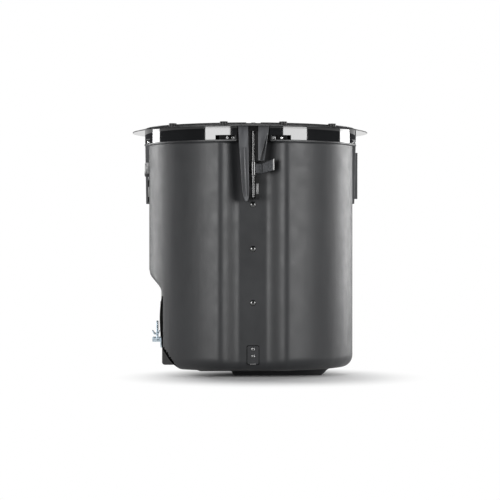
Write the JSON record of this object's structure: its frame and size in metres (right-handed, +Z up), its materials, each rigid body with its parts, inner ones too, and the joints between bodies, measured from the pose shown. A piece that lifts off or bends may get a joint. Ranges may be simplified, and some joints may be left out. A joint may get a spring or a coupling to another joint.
{
  "type": "ceiling loudspeaker",
  "caption": "Round in-ceiling loudspeaker with a deep steel back can, glossy collar, swing-out clamps and a side cable clamp.",
  "frame": {"origin": "floor level under the drum's axis, at the foot's resting face", "axes": "+Z up along the drum's axis towards the bezel, -Y the channel that faces the viewer, -X the terminal side"},
  "size_m": [0.34, 0.34, 0.3535],
  "materials": {
    "can_steel": "satin powder coat, fine texture",
    "rim_steel": "satin",
    "bracket_steel": "zinc plated",
    "black_rivet": "semi-gloss",
    "tab_black": "matte",
    "bright_screw": "polished",
    "gloss_black": "high gloss",
    "gasket_foam": "matte",
    "magnet_black": "matte",
    "guide_black": "semi-gloss moulding",
    "clamp_steel": "zinc plated",
    "follower_black": "matte",
    "arm_casting": "fine cast texture",
    "basket_steel": "satin",
    "surround_rubber": "satin",
    "cone_fibre": "fine fibre grain",
    "cap_black": "satin",
    "coil_copper": "varnished wire",
    "spider_cloth": "woven",
    "plate_steel": "zinc plated",
    "ferrite": "matte",
    "port_black": "matte",
    "lining_felt": "felt",
    "switch_body": "matte",
    "core_iron": "varnished laminations",
    "board_green": "lacquered",
    "cap_blue": "sleeved",
    "lead_red": "satin",
    "cover_black": "satin",
    "box_grey": "satin",
    "block_green": "matte",
    "zinc_cast": "zinc, bluish passivated"
  },
  "bodies": {
    "housing": {"back_can": "can_steel", "can_rim_band": "rim_steel", "can_brackets": "bracket_steel", "channel_rivets": "black_rivet", "tab_plates": "tab_black", "tab_plate_screws": "bright_screw", "safety_eye": "black_rivet", "baffle": "gloss_black", "rim_gasket": "gasket_foam", "rim_tabs": "bracket_steel", "collar_screws": "bright_screw", "grille_magnets": "magnet_black", "baffle_screws": "black_rivet", "basket": "basket_steel", "basket_gasket": "gasket_foam", "woofer_screws": "black_rivet", "surround": "surround_rubber", "spider": "spider_cloth", "top_plate": "plate_steel", "ferrite_magnet": "ferrite", "yoke": "plate_steel", "port_tube": "port_black", "acoustic_lining": "lining_felt", "tap_switch": "switch_body", "transformer_core": "core_iron", "transformer_coil": "coil_copper", "transformer_bracket": "bracket_steel", "crossover_board": "board_green", "inductor": "coil_copper", "capacitors": "cap_blue", "inner_leads": "lead_red", "terminal_cover": "cover_black", "terminal_box": "box_grey", "cover_screws": "black_rivet", "terminal_block": "block_green", "cable_clamp_body": "zinc_cast", "clamp_guide_front": "guide_black", "clamp_guide_right": "guide_black", "clamp_guide_back": "guide_black", "clamp_guide_left": "guide_black"},
    "cone_assembly": {"cone": "cone_fibre", "dust_cap": "cap_black", "voice_coil": "coil_copper"},
    "tap_knob": {"tap_knob": "port_black"},
    "cable_strap": {"cable_clamp_strap": "zinc_cast"},
    "cable_screw_a": {"cable_clamp_screw_a": "zinc_cast"},
    "cable_screw_b": {"cable_clamp_screw_b": "zinc_cast"},
    "clamp_screw_front": {"clamp_screw_front": "clamp_steel"},
    "clamp_nut_front": {"clamp_nut_front": "follower_black"},
    "clamp_arm_front": {"clamp_arm_front": "arm_casting"},
    "clamp_screw_right": {"clamp_screw_right": "clamp_steel"},
    "clamp_nut_right": {"clamp_nut_right": "follower_black"},
    "clamp_arm_right": {"clamp_arm_right": "arm_casting"},
    "clamp_screw_back": {"clamp_screw_back": "clamp_steel"},
    "clamp_nut_back": {"clamp_nut_back": "follower_black"},
    "clamp_arm_back": {"clamp_arm_back": "arm_casting"},
    "clamp_screw_left": {"clamp_screw_left": "clamp_steel"},
    "clamp_nut_left": {"clamp_nut_left": "follower_black"},
    "clamp_arm_left": {"clamp_arm_left": "arm_casting"}
  },
  "joints": [
    {"name": "clamp_screw_spin_front", "type": "hinge", "parent": "housing", "child": "clamp_screw_front", "pos_m": [0, -0.144, 0.3], "axis": [0, 0, 1], "range_deg": [-270, 2880]},
    {"name": "clamp_travel_front", "type": "slide", "parent": "housing", "child": "clamp_nut_front", "axis": [0, 0, 1], "range_m": [-0.016, 0.0015]},
    {"name": "clamp_swing_front", "type": "hinge", "parent": "clamp_nut_front", "child": "clamp_arm_front", "pos_m": [0, -0.144, 0.29], "axis": [0, 0, 1], "range_deg": [-90, 0]},
    {"name": "clamp_screw_spin_right", "type": "hinge", "parent": "housing", "child": "clamp_screw_right", "pos_m": [0.144, 0, 0.3], "axis": [0, 0, 1], "range_deg": [-270, 2880]},
    {"name": "clamp_travel_right", "type": "slide", "parent": "housing", "child": "clamp_nut_right", "axis": [0, 0, 1], "range_m": [-0.016, 0.0015]},
    {"name": "clamp_swing_right", "type": "hinge", "parent": "clamp_nut_right", "child": "clamp_arm_right", "pos_m": [0.144, 0, 0.29], "axis": [0, 0, 1], "range_deg": [-90, 0]},
    {"name": "clamp_screw_spin_back", "type": "hinge", "parent": "housing", "child": "clamp_screw_back", "pos_m": [0, 0.144, 0.3], "axis": [0, 0, 1], "range_deg": [-270, 2880]},
    {"name": "clamp_travel_back", "type": "slide", "parent": "housing", "child": "clamp_nut_back", "axis": [0, 0, 1], "range_m": [-0.016, 0.0015]},
    {"name": "clamp_swing_back", "type": "hinge", "parent": "clamp_nut_back", "child": "clamp_arm_back", "pos_m": [0, 0.144, 0.29], "axis": [0, 0, 1], "range_deg": [-90, 0]},
    {"name": "clamp_screw_spin_left", "type": "hinge", "parent": "housing", "child": "clamp_screw_left", "pos_m": [-0.144, 0, 0.3], "axis": [0, 0, 1], "range_deg": [-270, 2880]},
    {"name": "clamp_travel_left", "type": "slide", "parent": "housing", "child": "clamp_nut_left", "axis": [0, 0, 1], "range_m": [-0.016, 0.0015]},
    {"name": "clamp_swing_left", "type": "hinge", "parent": "clamp_nut_left", "child": "clamp_arm_left", "pos_m": [-0.144, 0, 0.29], "axis": [0, 0, 1], "range_deg": [-90, 0]},
    {"name": "cone_stroke", "type": "slide", "parent": "housing", "child": "cone_assembly", "axis": [0, 0, 1], "range_m": [-0.006, 0.006], "stiffness_N_per_m": 2500, "deforming": ["surround", "spider"]},
    {"name": "tap_turn", "type": "hinge", "parent": "housing", "child": "tap_knob", "pos_m": [-0.09051, 0.09051, 0.345], "axis": [0, 0, 1], "range_deg": [-240, 0]},
    {"name": "cable_screw_a_turn", "type": "hinge", "parent": "housing", "child": "cable_screw_a", "pos_m": [-0.1345, 0.01, 0.06], "axis": [0, 0, 1], "range_deg": [-720, 4500]},
    {"name": "cable_screw_b_turn", "type": "hinge", "parent": "housing", "child": "cable_screw_b", "pos_m": [-0.1345, -0.01, 0.06], "axis": [0, 0, 1], "range_deg": [-720, 4500]},
    {"name": "cable_strap_travel", "type": "slide", "parent": "housing", "child": "cable_strap", "axis": [0, 0, 1], "range_m": [-0.0016, 0.01]}
  ],
  "couplings": [
    {"joint": "clamp_screw_spin_front", "follows": "clamp_travel_front", "rad_per_m": -3141.6},
    {"joint": "clamp_screw_spin_right", "follows": "clamp_travel_right", "rad_per_m": -3141.6},
    {"joint": "clamp_screw_spin_back", "follows": "clamp_travel_back", "rad_per_m": -3141.6},
    {"joint": "clamp_screw_spin_left", "follows": "clamp_travel_left", "rad_per_m": -3141.6},
    {"joint": "cable_screw_a_turn", "follows": "cable_strap_travel", "rad_per_m": 7854},
    {"joint": "cable_screw_b_turn", "follows": "cable_strap_travel", "rad_per_m": 7854}
  ]
}
